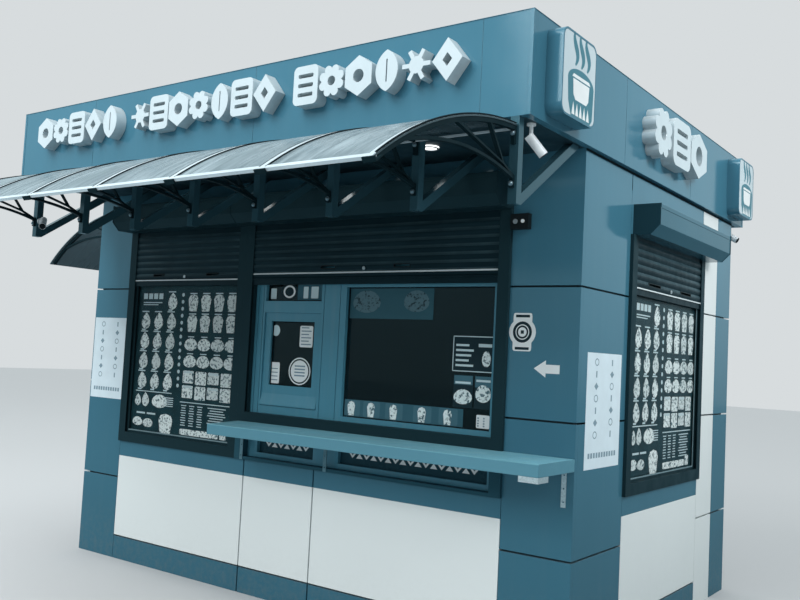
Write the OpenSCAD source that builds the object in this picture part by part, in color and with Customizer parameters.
// Street kiosk with a serving window, menu windows, roller shutters and an arched canopy.
// Millimetres, +Z up, front towards -Y, origin at ground level in the middle of the walls.

/* [Body] */
// Width over the wall cladding
body_w = 4000; // [3800:10:4600]
// Depth over the wall cladding
body_d = 2580; // [2480:10:3060]
// Height to the top of the fascia
body_h = 3150; // [3050:10:3400]
// Height of the soffit above the ground
soffit_z = 2665; // [2640:5:2720]
// Thickness of the structural wall panels
wall_t = 90; // [70:5:120]
// Thickness of the cladding cassettes
clad_t = 30; // [24:1:40]
// Thickness of the floor slab
floor_t = 100; // [60:10:140]
// Thickness of the roof slab
roof_t = 80; // [60:5:120]

/* [Fascia] */
// Overhang of the fascia in front of the wall
front_overhang = 673; // [600:5:760]
// Overhang of the fascia past each side wall
side_overhang = 30; // [20:5:60]
// Overhang of the fascia behind the back wall
rear_overhang = 180; // [120:10:300]
// Thickness of the fascia boards
fascia_t = 40; // [30:5:60]
// Length of a fascia cassette on the front
fascia_bay = 1485; // [1300:5:1600]
// Length of a fascia cassette on the sides
fascia_side_bay = 1105; // [900:5:1200]

/* [Cladding joints] */
// Width of the shadow joint between cassettes
joint_w = 10; // [6:1:16]
// Width of the thin seam where two cassettes lie edge to edge
seam_w = 3; // [2:0.5:5]
// Height of the lowest joint
joint_low = 580; // [540:5:620]
// Height of the middle joint
joint_mid = 1265; // [1200:5:1300]
// Height of the upper joint
joint_top = 1957; // [1900:5:2000]
// Bottom edge of the white panels
white_low = 167; // [140:5:200]
// Top edge of the white panels
white_top = 737; // [700:5:760]

/* [Front openings] */
// Width of each front pier
pier_w = 405; // [380:5:440]
// Width of the left window with its guides
menu_w = 1210; // [1100:10:1300]
// Bottom edge of the window frames
frame_low = 845; // [820:5:870]
// Height where the shutter guides end under the shutter boxes
guide_top = 2370; // [2340:5:2400]
// Width of a shutter guide
guide_w = 70; // [60:2:80]
// How far a guide stands proud of the cladding
guide_proud = 20; // [16:1:28]
// Distance from the left guide to the first panel joint
joint_a = 75; // [60:5:100]
// Distance from the first to the second panel joint
joint_b = 600; // [560:10:640]
// Head of the openings cut in the wall panels
head_z = 2110; // [2080:5:2160]

/* [Side wall] */
// Length of the front pier on the right side
side_pier = 630; // [580:10:680]
// Length of the right window with its guides
side_win = 1295; // [1200:5:1330]
// Width of the narrow white strip
strip_w = 330; // [280:10:380]
// Height where the guides on the right side end
side_guide_top = 2312; // [2290:2:2330]

/* [Serving window] */
// Height of the counter top
counter_z = 1089; // [1060:1:1110]
// Thickness of the counter board
counter_t = 62; // [50:2:70]
// Depth of the counter board
counter_d = 390; // [340:10:420]
// Distance from the left guide to the counter's front left corner
counter_inset = 65; // [60:5:100]
// How much further left the counter reaches at the wall than at its front
counter_slant = 120; // [0:5:130]
// Top of the dark sill band
sill_top = 1150; // [1130:5:1170]
// Width of the hatch opening
hatch_w = 480; // [440:10:520]
// Width of the mullion beside the hatch
mullion_w = 200; // [160:10:220]
// Thickness of the serving window frame
unit_t = 60; // [50:2:70]
// Face width of the sash profile
sash_w = 55; // [45:5:65]

/* [Shutters] */
// Pitch of the shutter slats
slat_pitch = 45; // [40:1:55]
// Thickness of a slat wall
slat_t = 5; // [4:0.5:7]
// How far each slat bows outwards
slat_bow = 7; // [4:1:9]
// Depth of the front shutter boxes
box_d = 190; // [170:5:200]
// Height of the front shutter boxes
box_h = 170; // [150:5:175]
// Depth of the side shutter box
side_box_d = 155; // [140:5:175]
// Height of the side shutter box
side_box_h = 170; // [150:5:180]
// Height of the lower edge of the lowered shutters
shutter_low = 1977; // [1960:1:2000]
// Height of the shutter bottom bar
bar_h = 42; // [36:2:50]
// Distance of the two finger slots from the middle of a shutter
grip_out = 280; // [240:10:320]
// Length of a finger slot in the front shutters
grip_l = 110; // [90:5:130]
// Length of a finger slot in the side shutter
side_grip_l = 190; // [160:5:210]

/* [Canopy] */
// Number of canopy trusses
truss_n = 8; // [6:1:9]
// Spacing of the trusses
truss_pitch = 539; // [520:1:560]
// Distance from the right end of the fascia to the middle of the first truss
truss_inset = 75; // [40:1:90]
// Size of the square hanger tube
post_s = 45; // [40:1:60]
// Height of a bracket between its two fixings
bracket_h = 233; // [220:1:260]
// Reach of a bracket in front of the hangers
canopy_reach = 1024; // [940:4:1060]
// Fall of the outer arc over that reach
canopy_drop = 359; // [340:1:380]
// Rise of the outer arc above its chord
canopy_sag = 86; // [70:1:95]
// Thickness of the outer arc bar
arc_bar = 20; // [16:1:25]
// Thickness of the inner arc bar
inner_bar = 14; // [10:1:18]
// Thickness of the web bars
web_bar = 10; // [8:1:14]
// Thickness of the canopy sheets
sheet_t = 6; // [4:1:10]
// How far the sheets run past the bracket tips
sheet_lip = 12; // [8:1:30]
// Width of the cover strips over the sheet joints
strip_cover = 28; // [24:2:40]
// How far the canopy runs past the end trusses
sheet_end = 14; // [12:1:30]

/* [Staff door] */
// Width of the staff door leaf
door_w = 860; // [800:10:900]
// Height of the staff door leaf
door_h = 2040; // [1960:10:2060]
// Distance of the door leaf from the front wall face
door_from_front = 370; // [320:10:420]
// Reach of the door canopy
door_reach = 960; // [860:10:1000]
// Fall of the door canopy
door_drop = 394; // [370:2:410]
// Rise of the door canopy above its chord
door_sag = 100; // [80:2:120]
// Width of the door canopy
door_canopy_w = 1200; // [1100:10:1300]
// Height of the door canopy at the wall
door_canopy_z = 2600; // [2580:5:2620]

/* [Raised shapes] */
// Height of the raised shapes on the front fascia, as a share of the fascia's height
motif_share = 0.433; // [0.37:0.001:0.47]
// Depth of the raised shapes on the front fascia
motif_d = 75; // [60:5:100]
// Spacing of the raised shapes on the front fascia
motif_pitch = 178; // [160:2:190]
// Gap between two groups of raised shapes
motif_gap = 123; // [90:1:150]
// Distance from the left end of the fascia to the first raised shape
motif_start = 290; // [240:5:340]
// Height of the raised shapes on the right fascia, as a share of the fascia's height
side_motif_share = 0.588; // [0.52:0.001:0.63]
// Depth of the raised shapes on the right fascia
side_motif_d = 80; // [60:5:100]
// Spacing of the raised shapes on the right fascia
side_motif_pitch = 323; // [290:1:340]
// Distance from the front wall face to the first raised shape on the right fascia
side_motif_start = 640; // [600:10:700]

/* [Sign boxes] */
// Width of a sign box
sign_w = 370; // [320:10:420]
// Height of a sign box
sign_h = 410; // [360:10:440]
// Depth of a sign box
sign_d = 85; // [70:5:100]
// Corner radius of a sign box
sign_r = 50; // [30:5:60]
// Distance from a sign box to the near edge of the fascia
sign_edge = 133; // [100:1:160]

/* [Lamps and cameras] */
// Diameter of a soffit lamp
lamp_d = 95; // [80:5:110]
// Distance from the soffit lamps to the front wall face
lamp_out = 340; // [300:10:400]
// Spacing of the soffit lamps
lamp_pitch = 655; // [600:5:700]
// Distance from the last soffit lamp to the right wall face
lamp_side = 733; // [650:1:800]
// Diameter of a camera
camera_d = 46; // [40:2:60]
// Length of a camera
camera_l = 115; // [100:5:140]
// Drop of a camera below the soffit
camera_drop = 70; // [55:5:90]

/* [Hidden] */

// Fit between neighbouring pieces that are not face to face
fit = 0.3;
$fn = 64;

// Face planes of the walls
face_x = body_w/2;
face_y = body_d/2;
core_x = face_x - clad_t;
core_y = face_y - clad_t;
room_x = core_x - wall_t;
room_y = core_y - wall_t;
fascia_h = body_h - soffit_z;
out_x = face_x + side_overhang;
last_bay = 264;
seam_d = 1.5;

// Front openings, from left to right
open_l = -face_x + pier_w;
open_r = face_x - pier_w;
mid_x = open_l + menu_w;
serve_l = mid_x + guide_w;
serve_r = open_r - guide_w;
cut_a = mid_x + joint_a;
cut_b = cut_a + joint_b;

// Side wall stations, measured along Y
side_y1 = -face_y + side_pier;
side_y2 = side_y1 + side_win;
side_y3 = side_y2 + strip_w;

// Heights of the cladding tiers
tiers = [
    [0, joint_low - joint_w/2],
    [joint_low + joint_w/2, joint_mid - joint_w/2],
    [joint_mid + joint_w/2, joint_top - joint_w/2],
    [joint_top + joint_w/2, soffit_z]
];

// Window frame profile
rail_h = 70;
bead_w = 14;
bead_t = 6.5;
slot_d = 26;
slot_w = 17;
lip_t = 4;
glass_t = 6;
glass_in = 8;
board_t = 8;

// Serving window stations
unit_y = -core_y;
hatch_l = serve_l + 85;
hatch_r = hatch_l + hatch_w;
show_l = hatch_r + mullion_w;
show_r = serve_r - 40;
unit_rail = 30;
show_top = 1962;
transom_z = 1800;
transom_glass_z = 1876;
hatch_low = 1200;
lower_rail = 32;
sill_rail = 20;

// Canopy stations: the hangers stand in the fascia's front plane
hang_y = -face_y - front_overhang;
first_x = out_x - truss_inset;
root_below = 47;
arc_root = [hang_y, soffit_z - root_below];
heel_up = 121;
foot_z = arc_root[1] - bracket_h - heel_up;
strut_gap = 30;
strut_clear = 12;
bracket_t = 20;
pad_t = 16;
nose_part = 0.2;
inner_sag = 62;
strip_t = 4;
edge_rail = 22;
tie_rail = 10;
tie_below = 22;
clip_w = 60;
clip_t = 7;

// Raised shapes and sign boxes on the fascia
shape_top = 0.18*fascia_h;
motif_h = motif_share*fascia_h;
side_motif_h = side_motif_share*fascia_h;
sign_z = body_h - 40 - sign_h/2;
sign_recess = 6;
sign_rim = 10;
camera_plate = 10;
sign_y = [hang_y + sign_edge + sign_w/2, face_y + rear_overhang - 50 - sign_w/2];

// Staff door stations
door_y1 = -face_y + door_from_front;
door_y2 = door_y1 + door_w;
door_frame = 50;
door_gap = 5;
leaf_t = 44;
leaf_set = 4;
door_root = [-face_x, door_canopy_z];
door_canopy_y = door_y1 + door_w/2 - door_canopy_w/2;

function arc_radius(chord, sag) = chord*chord/(8*sag) + sag/2;
function truss_x(i) = first_x - i*truss_pitch;

// Box between two corners
module span(a, b) {
    translate(a) cube(b - a);
}

// Extrudes a profile drawn in Y and Z along X, centred on x
module along_x(x, w) {
    translate([x - w/2, 0, 0]) rotate([90, 0, 90]) linear_extrude(w) children();
}

// Extrudes a profile drawn in X and Z along Y, from y to y + w
module along_y(y, w) {
    translate([0, y + w, 0]) rotate([90, 0, 0]) linear_extrude(w) children();
}

// Flat rectangle between two corners
module rect(a, b) {
    translate(a) square(b - a);
}

// Rectangle with round corners, centred
module round_rect(w, h, r) {
    square([w - 2*r, h], center=true);
    square([w, h - 2*r], center=true);
    for (sx = [-1, 1], sy = [-1, 1])
        translate([sx*(w/2 - r), sy*(h/2 - r)]) circle(r);
}

// Straight bar of thickness t between two points in a plane
module bar(a, b, t) {
    v = b - a;
    translate(a) rotate(atan2(v[1], v[0])) translate([0, -t/2]) square([norm(v), t]);
}

// Centre of the arc that bulges above the chord from a (left) to b (right)
function arc_centre(a, b, sag) =
    let (v = b - a, r = arc_radius(norm(v), sag))
    (a + b)/2 - [-v[1], v[0]]/norm(v)*(r - sag);

// Direction from the centre to a point at distance s from a along that arc, as an angle
function arc_turn(a, b, sag, s) =
    let (c = arc_centre(a, b, sag))
    atan2(a[1] - c[1], a[0] - c[0]) - s/arc_radius(norm(b - a), sag)*180/PI;

// Length of that arc
function arc_length(a, b, sag) =
    2*arc_radius(norm(b - a), sag)*asin(norm(b - a)/2/arc_radius(norm(b - a), sag))*PI/180;

// Point at distance s from a, and off outside the arc
function arc_point(a, b, sag, s, off=0) =
    let (t = arc_turn(a, b, sag, s))
    arc_centre(a, b, sag) + (arc_radius(norm(b - a), sag) + off)*[cos(t), sin(t)];

// Curved bar that follows the arc between distances s1 and s2, from lo to hi outside it
module arc_band(a, b, sag, lo, hi, s1, s2) {
    r = arc_radius(norm(b - a), sag);
    t1 = arc_turn(a, b, sag, s1);
    t2 = arc_turn(a, b, sag, s2);
    tm = (t1 + t2)/2;
    far = 1.5*r;
    translate(arc_centre(a, b, sag)) intersection() {
        difference() {
            circle(r + hi, $fn=180);
            circle(r + lo, $fn=180);
        }
        polygon([
            [0, 0],
            far*[cos(t1), sin(t1)],
            far*[cos(tm), sin(tm)],
            far*[cos(t2), sin(t2)]
        ]);
    }
}

// Stack of cassettes between two corners in plan, one per tier
module cassettes(a, b) {
    for (t = tiers)
        span([a[0], a[1], t[0]], [b[0], b[1], t[1]]);
}

module floor() {
    color("gray")
        span([-room_x, -room_y, 0], [room_x, room_y, floor_t]);
}

module front_wall() {
    color("lightgray") difference() {
        span([-core_x, -core_y, 0], [core_x, -room_y, soffit_z]);
        span([open_l + guide_w, -core_y - 1, frame_low + rail_h], [mid_x - guide_w, -room_y + 1, head_z]);
        span([serve_l, -core_y - 1, frame_low + sill_rail], [serve_r, -room_y + 1, head_z]);
    }
}

module back_wall() {
    color("lightgray")
        span([-core_x, room_y, 0], [core_x, core_y, soffit_z]);
}

module left_wall() {
    color("lightgray") difference() {
        span([-core_x, -room_y, 0], [-room_x, room_y, soffit_z]);
        span([-core_x - 1, door_y1 - door_frame, -1],
             [-room_x + 1, door_y2 + door_frame, floor_t + door_h + door_frame]);
    }
}

module right_wall() {
    color("lightgray") difference() {
        span([room_x, -room_y, 0], [core_x, room_y, soffit_z]);
        span([room_x - 1, side_y1 + guide_w, frame_low + rail_h],
             [core_x + 1, side_y2 - guide_w, head_z]);
    }
}

module roof_slab() {
    color("slategray")
        span([-face_x - side_overhang + fascia_t, hang_y + fascia_t, soffit_z],
             [face_x + side_overhang - fascia_t, face_y + rear_overhang - fascia_t, soffit_z + roof_t]);
}

// Shallow vertical seams cut into a board's outer face, drawn as thin upright bars
module seam_cut(p) {
    translate([p[0], p[1], (soffit_z + body_h)/2])
        cube([2*seam_d, 2*seam_d, fascia_h + 2], center=true);
}

module fascia_front() {
    seams = floor((2*out_x - last_bay)/fascia_bay);
    color("steelblue") difference() {
        span([-out_x, hang_y, soffit_z], [out_x, hang_y + fascia_t, body_h]);
        for (i = [0 : seams]) seam_cut([out_x - last_bay - i*fascia_bay, hang_y]);
    }
}

module fascia_sides() {
    length = face_y + rear_overhang - hang_y;
    seams = floor(length/fascia_side_bay) - 1;
    color("steelblue") difference() {
        for (x = [-out_x, out_x - fascia_t])
            span([x, hang_y + fascia_t, soffit_z],
                 [x + fascia_t, face_y + rear_overhang - fascia_t, body_h]);
        for (x = [-out_x, out_x], i = [1 : seams])
            seam_cut([x, hang_y + i*fascia_side_bay]);
    }
}

module fascia_back() {
    back_y = face_y + rear_overhang;
    color("steelblue")
        span([-out_x, back_y - fascia_t, soffit_z], [out_x, back_y, body_h]);
}

module front_piers() {
    color("teal") {
        cassettes([-face_x, -face_y], [open_l, -core_y]);
        cassettes([open_r, -face_y], [face_x, -core_y]);
    }
}

module right_piers() {
    color("teal") {
        cassettes([core_x, -core_y], [face_x, side_y1]);
        cassettes([core_x, side_y3], [face_x, core_y]);
    }
}

// Cassettes before, behind and over the staff door
module left_cladding() {
    over_z = floor_t + door_h + door_frame;
    color("teal") {
        cassettes([-face_x, -core_y], [-core_x, door_y1 - door_frame]);
        cassettes([-face_x, door_y2 + door_frame], [-core_x, core_y]);
        span([-face_x, door_y1 - door_frame + joint_w, over_z + joint_w],
             [-core_x, door_y2 + door_frame - joint_w, soffit_z]);
    }
}

module back_cladding() {
    columns = 4;
    w = 2*face_x/columns;
    color("teal")
        for (i = [0 : columns - 1])
            cassettes([-face_x + i*w + (i > 0 ? joint_w/2 : 0), core_y],
                      [-face_x + (i + 1)*w - (i < columns - 1 ? joint_w/2 : 0), face_y]);
}

// Teal rails under the windows, base panels and the header above the shutters
module front_bands() {
    edges = [open_l, cut_a, cut_b, open_r];
    color("teal") {
        for (i = [0 : 2]) {
            a = edges[i] + (i > 0 ? joint_w/2 : seam_w);
            b = edges[i + 1] - (i < 2 ? joint_w/2 : seam_w);
            span([a, -face_y, 0], [b, -core_y, white_low - joint_w]);
            span([a, -face_y, white_top], [b, -core_y, frame_low]);
        }
        span([open_l + seam_w, -face_y, guide_top], [open_r - seam_w, -core_y, soffit_z]);
    }
}

module right_bands() {
    color("teal") {
        span([core_x, side_y1 + seam_w, 0], [face_x, side_y2, white_low - joint_w]);
        span([core_x, side_y1 + seam_w, white_top], [face_x, side_y2, frame_low]);
        span([core_x, side_y1 + seam_w, side_guide_top], [face_x, side_y2, soffit_z]);
    }
}

module front_white_panels() {
    edges = [open_l, cut_a, cut_b, open_r];
    color("white")
        for (i = [0 : 2])
            span([edges[i] + (i > 0 ? joint_w/2 : seam_w), -face_y, white_low],
                 [edges[i + 1] - (i < 2 ? joint_w/2 : seam_w), -core_y, white_top]);
}

// Panel under the right window, and the narrow white strip behind it
module right_white_panels() {
    color("white") {
        span([core_x, side_y1 + seam_w, white_low], [face_x, side_y2, white_top]);
        cassettes([core_x, side_y2 + seam_w], [face_x, side_y3 - fit]);
    }
}

// Frame of a menu window: guides, bottom rail and head, with the slots that the shutter runs in.
// Drawn with its left edge at x = 0 and the cladding face at y = 0.
module window_frame(w, top) {
    difference() {
        union() {
            difference() {
                span([0, -guide_proud, frame_low], [w, clad_t, top]);
                span([guide_w, -guide_proud - 1, frame_low + rail_h],
                     [w - guide_w, clad_t + 1, top - rail_h]);
            }
            difference() {
                span([guide_w - 1, glass_in - bead_t, frame_low + rail_h - 1],
                     [w - guide_w + 1, glass_in, top - rail_h + 1]);
                span([guide_w + bead_w, glass_in - bead_t - 1, frame_low + rail_h + bead_w],
                     [w - guide_w - bead_w, glass_in + 1, top - rail_h - bead_w]);
            }
        }
        for (x = [guide_w - slot_d, w - guide_w - 1])
            span([x, lip_t - guide_proud, frame_low + rail_h],
                 [x + slot_d + 1, lip_t - guide_proud + slot_w, top + 1]);
        span([guide_w - 1, -guide_proud - 1, top - rail_h - 1],
             [w - guide_w + 1, lip_t - guide_proud + slot_w, top + 1]);
    }
}

// Glass and board that fill the opening of a menu window's frame, drawn as window_frame
module window_fill(w, y, t) {
    span([guide_w + fit, y, frame_low + rail_h + fit],
         [w - guide_w - fit, y + t, head_z - fit]);
}

// Shutter box with a chamfered lower front edge and a lid that laps its front, in Y and Z
module box_profile(d, h, z) {
    chamfer = 55;
    lid = 22;
    lap = 2;
    polygon([
        [0, z], [-d + chamfer, z], [-d, z + chamfer], [-d, z + h - lid],
        [-d - lap, z + h - lid], [-d - lap, z + h], [0, z + h]
    ]);
}

// The box along X with a cap on each end
module capped_box(x, w, d, h, z) {
    cap = 5;
    lap = 4;
    along_x(x, w - 2*cap) box_profile(d, h, z);
    for (s = [-1, 1])
        along_x(x + s*(w - cap)/2, cap) box_profile(d + lap, h + lap, z);
}

// Height of the visible curtain's lower slat edge, and of the finger slots above it
slat_low = shutter_low + bar_h;
grip_up = 0.72*slat_pitch;

// Curtain profile in Y and Z: bowed slats that hook into each other
function slat_points(n, y, z, side) = [
    for (i = [0 : n - 1], k = [0 : 4])
        [y - side - slat_bow*sin(180*k/5), z + (i + k/5)*slat_pitch]
];

module curtain_profile(y, top) {
    n = floor((top - slat_low)/slat_pitch);
    outer = slat_points(n, y, slat_low, slat_t/2);
    inner = slat_points(n, y, slat_low, -slat_t/2);
    back = [for (i = [len(inner) - 1 : -1 : 0]) inner[i]];
    end_z = slat_low + n*slat_pitch;
    polygon(concat(outer, [[y - slat_t/2, end_z], [y - slat_t/2, top], [y + slat_t/2, top],
                           [y + slat_t/2, end_z]], back));
}

// Shutter drawn between guides of a window of width w, from the box down to its bottom bar.
// Its finger slots are slot_l long and lie at the height up above the bar.
module shutter(w, top, slot_l, up) {
    slot_h = 12;
    y = lip_t - guide_proud + slot_w/2 + 2;
    x1 = guide_w - slot_d + 3;
    x2 = w - x1;
    difference() {
        union() {
            along_x((x1 + x2)/2, x2 - x1) curtain_profile(y, top);
            span([x1, y - 6, shutter_low], [x2, y + 5, slat_low]);
            span([guide_w + 2, y - 12, slat_low - 7], [w - guide_w - 2, y + 5, slat_low + 1]);
        }
        for (s = [-1, 1])
            translate([w/2 + s*grip_out, y - slat_bow, slat_low + up])
                cube([slot_l, 3*slat_bow, slot_h], center=true);
    }
}

// Places a piece drawn for a wall face on the front wall, starting at x
module on_front(x) {
    translate([x, -face_y, 0]) children();
}

// The same for the right wall, starting at y
module on_right(y) {
    translate([face_x, y, 0]) rotate([0, 0, 90]) children();
}

module left_window_frame() {
    color("darkslategray") on_front(open_l) window_frame(menu_w, guide_top);
}

module right_window_frame() {
    color("darkslategray") on_right(side_y1) window_frame(side_win, side_guide_top);
}

module menu_window_glass() {
    color("lightblue") {
        on_front(open_l) window_fill(menu_w, glass_in + fit, glass_t);
        on_right(side_y1) window_fill(side_win, glass_in + fit, glass_t);
    }
}

module menu_boards() {
    y = glass_in + 2*fit + glass_t;
    color("dimgray") {
        on_front(open_l) window_fill(menu_w, y, board_t);
        on_right(side_y1) window_fill(side_win, y, board_t);
    }
}

// Boxes over the two front openings, a little apart where they meet
module front_shutter_boxes() {
    over = 5;
    color("darkslategray") {
        on_front(0)
            capped_box((open_l + mid_x)/2 - over, menu_w + 2*over - fit, box_d, box_h, guide_top);
        on_front(0)
            capped_box((mid_x + open_r)/2, open_r - mid_x - fit, box_d, box_h, guide_top);
    }
}

module left_shutter() {
    color("darkslategray") translate([open_l, -face_y, 0])
        shutter(menu_w, guide_top, grip_l, grip_up);
}

// Guides, bottom rail and sill band around the serving window
module serving_guides() {
    w = open_r - mid_x;
    color("darkslategray") translate([mid_x, -face_y, 0]) {
        difference() {
            union() {
                span([0, -guide_proud, frame_low], [guide_w, clad_t, guide_top]);
                span([w - guide_w, -guide_proud, frame_low], [w, clad_t, guide_top]);
                span([0, -guide_proud, frame_low], [w, clad_t, frame_low + sill_rail]);
                span([0, -guide_proud, counter_z + fit], [w, clad_t, sill_top]);
            }
            for (x = [guide_w - slot_d, w - guide_w - 1])
                span([x, lip_t - guide_proud, sill_top],
                     [x + slot_d + 1, lip_t - guide_proud + slot_w, guide_top + 1]);
        }
    }
}

// Painted frame in the wall opening: stiles, mullion, rails and the posts below the counter
module serving_unit() {
    y1 = unit_y;
    y2 = unit_y + unit_t;
    low = frame_low + sill_rail;
    groove = 4;
    color("teal") difference() {
        span([serve_l + fit, y1, low + fit], [serve_r - fit, y2, head_z - fit]);
        span([hatch_l, y1 - 1, hatch_low], [hatch_r, y2 + 1, transom_z]);
        span([hatch_l, y1 - 1, transom_glass_z], [hatch_r, y2 + 1, show_top + unit_rail]);
        span([show_l, y1 - 1, sill_top + unit_rail], [show_r, y2 + 1, show_top]);
        span([hatch_l, y1 - 1, low + lower_rail], [hatch_r, y2 + 1, counter_z - 10]);
        span([show_l, y1 - 1, low + lower_rail], [show_r, y2 + 1, counter_z - 10]);
        for (x = [hatch_l - 63, hatch_l - 20, hatch_r + 22, show_l - 50])
            span([x, y1 - 1, sill_top - 40], [x + groove, y1 + 6, head_z + 1]);
    }
}

// Sash that closes the hatch, with a sloping drip board over its bottom rail
module hatch_sash() {
    y1 = unit_y + 10;
    y2 = unit_y + unit_t - 12;
    glass_low = hatch_low + 135;
    color("teal") {
        difference() {
            span([hatch_l + fit, y1, hatch_low + fit], [hatch_r - fit, y2, transom_z - fit]);
            span([hatch_l + sash_w, y1 - 1, glass_low], [hatch_r - sash_w, y2 + 1, transom_z - sash_w]);
        }
        along_x((hatch_l + hatch_r)/2, hatch_r - hatch_l - 4)
            polygon([
                [y1 + 1, hatch_low + 4], [y1 - 16, hatch_low + 4],
                [y1 - 16, hatch_low + 12], [y1 + 1, hatch_low + 84]
            ]);
    }
}

// Panes of the transom, the hatch and the display window
module serving_glass() {
    y = unit_y + unit_t/2;
    color("lightblue") {
        span([hatch_l + fit, y, transom_glass_z + fit],
             [hatch_r - fit, y + glass_t, show_top + unit_rail - fit]);
        span([hatch_l + sash_w + fit, y, hatch_low + 135 + fit],
             [hatch_r - sash_w - fit, y + glass_t, transom_z - sash_w - fit]);
        span([show_l + fit, y, sill_top + unit_rail + fit], [show_r - fit, y + glass_t, show_top - fit]);
    }
}

// Panes with a woven ornament below the counter
module lower_panes() {
    y = unit_y + unit_t/2 - 6;
    low = frame_low + sill_rail + lower_rail;
    color("lightsteelblue") {
        span([hatch_l + fit, y, low + fit], [hatch_r - fit, y + glass_t, counter_z - 10 - fit]);
        span([show_l + fit, y, low + fit], [show_r - fit, y + glass_t, counter_z - 10 - fit]);
    }
}

module serving_shutter() {
    color("darkslategray") translate([mid_x, -face_y, 0])
        shutter(open_r - mid_x, guide_top, grip_l, grip_up + 0.7*slat_pitch);
}

// Box over the right window, which runs on past the white strip's edge
module right_shutter_box() {
    near = 30;
    far = 95;
    color("steelblue") on_right(side_y1)
        capped_box((near + side_win + far)/2, side_win + far - near, side_box_d, side_box_h, side_guide_top);
}

module right_shutter() {
    color("darkslategray") on_right(side_y1)
        shutter(side_win, side_guide_top, side_grip_l, grip_up);
}

// Board with a slanting left end, cut out around the guides behind it
module counter_top() {
    x1 = serve_l + counter_inset;
    back = -face_y;
    notch = -face_y - guide_proud - fit;
    color("steelblue") translate([0, 0, counter_z - counter_t]) linear_extrude(counter_t)
        difference() {
            polygon([
                [x1, back - counter_d], [face_x, back - counter_d],
                [face_x, back], [x1 - counter_slant, back]
            ]);
            rect([x1 - counter_slant - 1, notch], [serve_l + fit, back + 1]);
            rect([serve_r - fit, notch], [open_r + fit, back + 1]);
        }
}

// Perforated angle under the counter, with its upright leg against the plane y
module counter_bracket(x, y, reach) {
    leg = 26;
    t = 4;
    first_hole = 27;
    hole_pitch = 67;
    top = counter_z - counter_t - fit;
    difference() {
        union() {
            span([x, y - t, frame_low], [x + leg, y, top]);
            span([x, y - reach, top - t], [x + leg, y, top]);
        }
        for (k = [0 : 2])
            translate([x + leg/2, y + 1, frame_low + first_hole + k*hole_pitch])
                rotate([90, 0, 0]) cylinder(h=t + 2, d=9, $fn=24);
    }
}

// Three of these, and a clip around the underside of the counter's right front corner
module counter_brackets() {
    clip = 105;
    clip_leg = 36;
    clip_h = 28;
    guide_y = -face_y - guide_proud;
    top = counter_z - counter_t - fit;
    y1 = -face_y - counter_d;
    color("gainsboro") {
        counter_bracket(serve_l - 16, guide_y, 0.28*counter_d);
        counter_bracket(cut_b + 90, guide_y, 0.8*counter_d);
        counter_bracket(face_x - 66, -face_y, 0.85*counter_d);
        difference() {
            span([face_x - clip, y1, top - clip_h], [face_x, y1 + clip, top]);
            span([face_x - clip - 1, y1 + clip_leg, top - clip_h - 1],
                 [face_x - clip_leg, y1 + clip + 1, top + 1]);
        }
    }
}

// Square hanger tube and its strut, which passes over the shutter boxes to the soffit
module hanger_profile() {
    y1 = hang_y;
    y2 = hang_y + post_s;
    drop = soffit_z - foot_z;
    over_box = (guide_top + box_h + strut_clear - foot_z)/(-face_y - box_d - y2);
    slope = max(drop/(-face_y - strut_gap - y2), over_box);
    rise = post_s/cos(atan(slope));
    polygon([
        [y1, foot_z], [y2, foot_z], [y2 + drop/slope, soffit_z], [y2 + (drop - rise)/slope, soffit_z],
        [y2, foot_z + rise], [y2, soffit_z], [y1, soffit_z]
    ]);
}

module canopy_hangers() {
    color("darkslategray")
        for (i = [0 : truss_n - 1])
            along_x(truss_x(i), post_s) hanger_profile();
}

// Arched bracket. root is the point on the wall or the hanger where the outer arc ends,
// and the inner arc starts at the heel below it. lap carries the outer arc on past the tip.
module bracket_profile(root, reach, drop, sag, lap=0) {
    tip = root - [reach, drop];
    heel = root - [0, bracket_h];
    whole = arc_length(tip, root, sag);
    nose = arc_point(tip, root, sag, nose_part*whole, -arc_bar/2);
    inner = arc_length(nose, heel, inner_sag);
    knee = heel + [-101, 42];
    arc_band(tip, root, sag, -arc_bar, 0, -lap, whole);
    arc_band(nose, heel, inner_sag, -inner_bar, 0, 0, inner);
    bar(heel + [-4, 0], knee, web_bar);
    bar(knee, arc_point(tip, root, sag, 0.54*whole, -arc_bar/2), web_bar);
    bar(knee, arc_point(tip, root, sag, 0.79*whole, -arc_bar/2), web_bar);
    rect(heel + [-pad_t, -50], heel + [0, 10]);
    rect(root + [-pad_t, -84], root + [0, -arc_bar/2]);
}

module canopy_brackets() {
    color("darkslategray")
        for (i = [0 : truss_n - 1]) {
            along_x(truss_x(i), bracket_t)
                bracket_profile(arc_root, canopy_reach, canopy_drop, canopy_sag, sheet_lip - edge_rail);
            along_x(truss_x(i), clip_w) clip_profile();
        }
}

// Clip around the edge rail at a bracket's tip
module clip_profile() {
    end = -sheet_lip - strip_t;
    under = -strip_t - fit;
    canopy_band(under - clip_t, under, end - fit, edge_rail - sheet_lip + 12);
    canopy_band(under - clip_t, 2*fit + sheet_t + strip_t, end - fit - clip_t, end - fit);
}

// Curved piece that follows the canopy's outer arc
module canopy_band(lo, hi, s1, s2) {
    arc_band(arc_root - [canopy_reach, canopy_drop], arc_root, canopy_sag, lo, hi, s1, s2);
}

// One sheet per bay, laid on the outer arcs
module canopy_sheets() {
    gap = 6;
    whole = arc_length(arc_root - [canopy_reach, canopy_drop], arc_root, canopy_sag);
    color("lightgray")
        for (i = [0 : truss_n - 2]) {
            x1 = truss_x(i) + (i == 0 ? sheet_end : -gap/2);
            x2 = truss_x(i + 1) + (i == truss_n - 2 ? -sheet_end : gap/2);
            along_x((x1 + x2)/2, x1 - x2)
                canopy_band(fit, fit + sheet_t, -sheet_lip, whole);
        }
}

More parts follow.
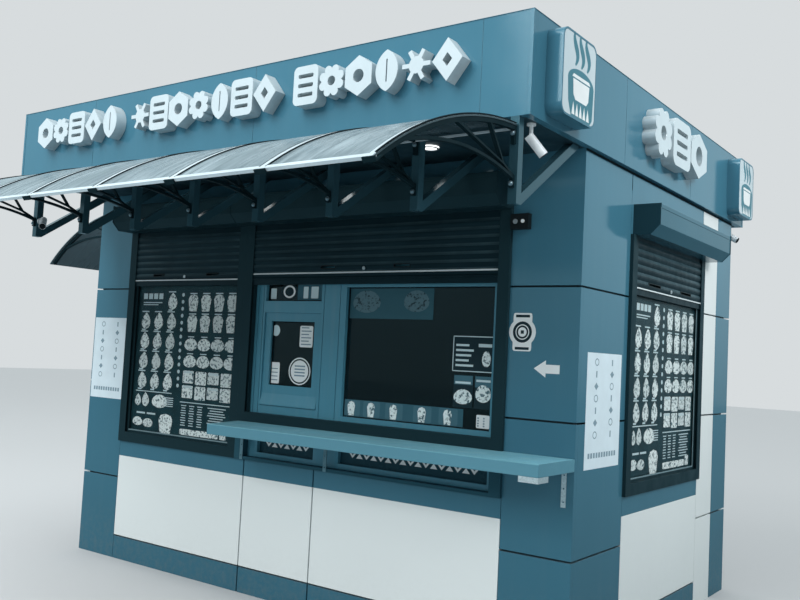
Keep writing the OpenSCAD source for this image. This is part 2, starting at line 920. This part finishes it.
// Front edge rail, cover strips over the ribs and the rails that tie each bracket to the next
module canopy_rails() {
    x1 = truss_x(0) + sheet_end;
    x2 = truss_x(truss_n - 1) - sheet_end;
    top = 2*fit + sheet_t;
    whole = arc_length(arc_root - [canopy_reach, canopy_drop], arc_root, canopy_sag);
    color("silver") {
        for (i = [0 : truss_n - 1])
            along_x(truss_x(i), strip_cover)
                canopy_band(top, top + strip_t, edge_rail + fit - sheet_lip, whole - 8);
        along_x((x1 + x2)/2, x1 - x2)
            difference() {
                canopy_band(-strip_t, top + strip_t, -sheet_lip - strip_t, edge_rail - sheet_lip);
                canopy_band(0, top, -sheet_lip - fit, edge_rail - sheet_lip + 1);
            }
        for (i = [0 : truss_n - 2])
            along_x((truss_x(i) + truss_x(i + 1))/2, truss_pitch - bracket_t - 2*fit)
                translate(arc_root - [pad_t + tie_rail, tie_below]) square(tie_rail);
    }
}

// Plain raised shapes, drawn flat and centred in a field w wide and h high
module scallop(w, h) {
    r = min(w, h)/2;
    difference() {
        union() {
            circle(0.78*r);
            for (i = [0 : 7]) rotate(i*45 + 22.5) translate([0.72*r, 0]) circle(0.28*r);
        }
        circle(0.3*r);
    }
}

module lozenge(w, h) {
    hole = 0.32;
    difference() {
        polygon([[-w/2, 0], [0, -h/2], [w/2, 0], [0, h/2]]);
        polygon([[-w/2*hole, 0], [0, -h/2*hole], [w/2*hole, 0], [0, h/2*hole]]);
    }
}

module grille_block(w, h) {
    slot_h = 0.1*h;
    difference() {
        round_rect(w, h, 0.18*w);
        for (i = [-1 : 1]) translate([0, i*0.24*h]) round_rect(0.62*w, slot_h, 0.4*slot_h);
    }
}

module six_sided(w, h) {
    c = 0.26*h;
    difference() {
        polygon([
            [-w/2, -h/2 + c], [0, -h/2], [w/2, -h/2 + c],
            [w/2, h/2 - c], [0, h/2], [-w/2, h/2 - c]
        ]);
        circle(0.2*w);
    }
}

module leaf(w, h) {
    r = (h*h/4 + w*w/4)/w;
    difference() {
        intersection() {
            translate([r - w/2, 0]) circle(r);
            translate([w/2 - r, 0]) circle(r);
        }
        square([0.06*w, 0.55*h], center=true);
    }
}

module sun(w, h) {
    r = min(w, h)/2;
    circle(0.5*r);
    for (i = [0 : 5]) rotate(i*60) translate([0.62*r, 0]) square([0.7*r, 0.26*r], center=true);
}

module raised_shape(kind, w, h) {
    if (kind == 0) scallop(w, h);
    if (kind == 1) lozenge(w, h);
    if (kind == 2) grille_block(w, h);
    if (kind == 3) six_sided(w, h);
    if (kind == 4) leaf(0.8*w, h);
    if (kind == 5) sun(w, h);
}

// Three groups of raised shapes in a row on the front fascia
module front_raised_shapes() {
    groups = [[3, 0, 2, 1, 4], [5, 2, 3, 0, 4, 2, 1], [2, 0, 3, 4, 5, 1]];
    before = [0, len(groups[0]), len(groups[0]) + len(groups[1])];
    gap = 8;
    color("white")
        for (g = [0 : 2], i = [0 : len(groups[g]) - 1])
            translate([-out_x + motif_start + (before[g] + i + 0.5)*motif_pitch + g*motif_gap,
                       hang_y, body_h - shape_top - motif_h/2])
                rotate([90, 0, 0])
                    linear_extrude(motif_d) raised_shape(groups[g][i], motif_pitch - gap, motif_h);
}

// Larger ones on the right fascia
module side_raised_shapes() {
    kinds = [0, 2, 3];
    gap = 14;
    color("white")
        for (i = [0 : 2])
            translate([out_x, -face_y + side_motif_start + (i + 0.5)*side_motif_pitch,
                       body_h - shape_top - side_motif_h/2])
                rotate([90, 0, 90])
                    linear_extrude(side_motif_d) raised_shape(kinds[i], side_motif_pitch - gap, side_motif_h);
}

// Body of a lit sign box, drawn facing +X at a place on the right fascia
module sign_body(y) {
    translate([out_x, y, sign_z]) rotate([90, 0, 90])
        difference() {
            linear_extrude(sign_d) round_rect(sign_w, sign_h, sign_r);
            translate([0, 0, sign_d - sign_recess]) linear_extrude(sign_recess + 1)
                round_rect(sign_w - 2*sign_rim, sign_h - 2*sign_rim, sign_r - sign_rim);
        }
}

module sign_boxes() {
    color("steelblue")
        for (y = sign_y) sign_body(y);
}

module sign_faces() {
    rim = sign_rim + fit;
    color("white")
        for (y = sign_y)
            translate([out_x + sign_d - sign_recess, y, sign_z]) rotate([90, 0, 90])
                linear_extrude(sign_recess - 1)
                    round_rect(sign_w - 2*rim, sign_h - 2*rim, sign_r - rim);
}

// Leaf that closes against the stops of its frame, with a pull handle
module staff_door() {
    x = -face_x + leaf_set;
    handle_y = door_y1 + 90;
    handle_z = floor_t + 1000;
    color("steelblue") {
        span([x, door_y1 + door_gap, floor_t + door_gap],
             [x + leaf_t, door_y2 - door_gap, floor_t + door_h - door_gap]);
        translate([x - 46, handle_y, handle_z - 150]) cylinder(h=300, d=22);
        for (s = [-1, 1])
            translate([x - 46, handle_y, handle_z + s*120]) rotate([0, 90, 0])
                cylinder(h=48, d=14);
    }
}

// Steel frame around the staff door, with its stops and threshold
module staff_door_frame() {
    stop = 14;
    a = door_y1 - door_frame + fit;
    b = door_y2 + door_frame - fit;
    stop_x = -face_x + leaf_set + leaf_t + fit;
    color("darkslategray") difference() {
        span([-face_x - 4, a, 0], [-room_x, b, floor_t + door_h + door_frame - fit]);
        span([-face_x - 5, door_y1, floor_t], [stop_x, door_y2, floor_t + door_h]);
        span([stop_x - 1, door_y1 + stop, floor_t], [-room_x + 1, door_y2 - stop, floor_t + door_h - stop]);
    }
}

module door_canopy_brackets() {
    inset = 20;
    color("darkslategray")
        for (y = [door_canopy_y + inset, door_canopy_y + door_canopy_w - inset - bracket_t])
            along_y(y, bracket_t)
                bracket_profile(door_root, door_reach, door_drop, door_sag);
}

module door_canopy_sheet() {
    tip = door_root - [door_reach, door_drop];
    color("lightgray")
        along_y(door_canopy_y, door_canopy_w)
            arc_band(tip, door_root, door_sag, fit, fit + sheet_t, -20, arc_length(tip, door_root, door_sag));
}

module downlights() {
    n = 5;
    rim = 8;
    color("white")
        for (i = [0 : n - 1])
            translate([face_x - lamp_side - i*lamp_pitch, -face_y - lamp_out, soffit_z - rim])
                cylinder(h=rim, d=lamp_d);
}

// Camera body on a knuckle, looking away from its base along turn and down by tilt
module camera_body(turn, tilt) {
    sphere(d=0.6*camera_d);
    rotate([0, 0, turn]) rotate([0, tilt, 0]) cylinder_x(camera_l, camera_d);
}

module cylinder_x(l, d) {
    translate([-0.15*l, 0, 0]) rotate([0, 90, 0]) cylinder(h=l, d=d);
}

// Round base and neck of a camera, drawn upwards from z = 0
module camera_base(neck) {
    cylinder(h=camera_plate, d=0.95*post_s);
    cylinder(h=neck, d=0.4*camera_d);
}

// Camera hung from the soffit
module soffit_camera(p, turn, tilt) {
    translate(p) {
        rotate([180, 0, 0]) camera_base(camera_drop);
        translate([0, 0, -camera_drop]) camera_body(turn, tilt);
    }
}

// One over the counter's end, one over the rear corner and one on the last hanger
module cctv_cameras() {
    neck = 45;
    color("white") {
        soffit_camera([face_x - 40, -face_y - 0.78*front_overhang, soffit_z], 40, 50);
        soffit_camera([face_x - 50, face_y + 0.2*rear_overhang, soffit_z], 0, 30);
        translate([truss_x(truss_n - 1) + post_s/2, hang_y + post_s/2, foot_z + 0.9*heel_up]) {
            rotate([0, 90, 0]) camera_base(neck);
            translate([neck, 0, 0]) camera_body(-35, 30);
        }
    }
}

module key_switch_box() {
    top = guide_top - 30;
    h = 82;
    w = 106;
    d = 36;
    color("black")
        span([open_r + 2, -face_y - d, top - h], [open_r + 2 + w, -face_y, top]);
}

floor();
front_wall();
back_wall();
left_wall();
right_wall();
roof_slab();
fascia_front();
fascia_sides();
fascia_back();
front_piers();
right_piers();
left_cladding();
back_cladding();
front_bands();
right_bands();
front_white_panels();
right_white_panels();
left_window_frame();
right_window_frame();
menu_window_glass();
menu_boards();
serving_guides();
serving_unit();
hatch_sash();
serving_glass();
lower_panes();
front_shutter_boxes();
right_shutter_box();
left_shutter();
serving_shutter();
right_shutter();
counter_top();
counter_brackets();
canopy_hangers();
canopy_brackets();
canopy_sheets();
canopy_rails();
front_raised_shapes();
side_raised_shapes();
sign_boxes();
sign_faces();
staff_door();
staff_door_frame();
door_canopy_brackets();
door_canopy_sheet();
downlights();
cctv_cameras();
key_switch_box();
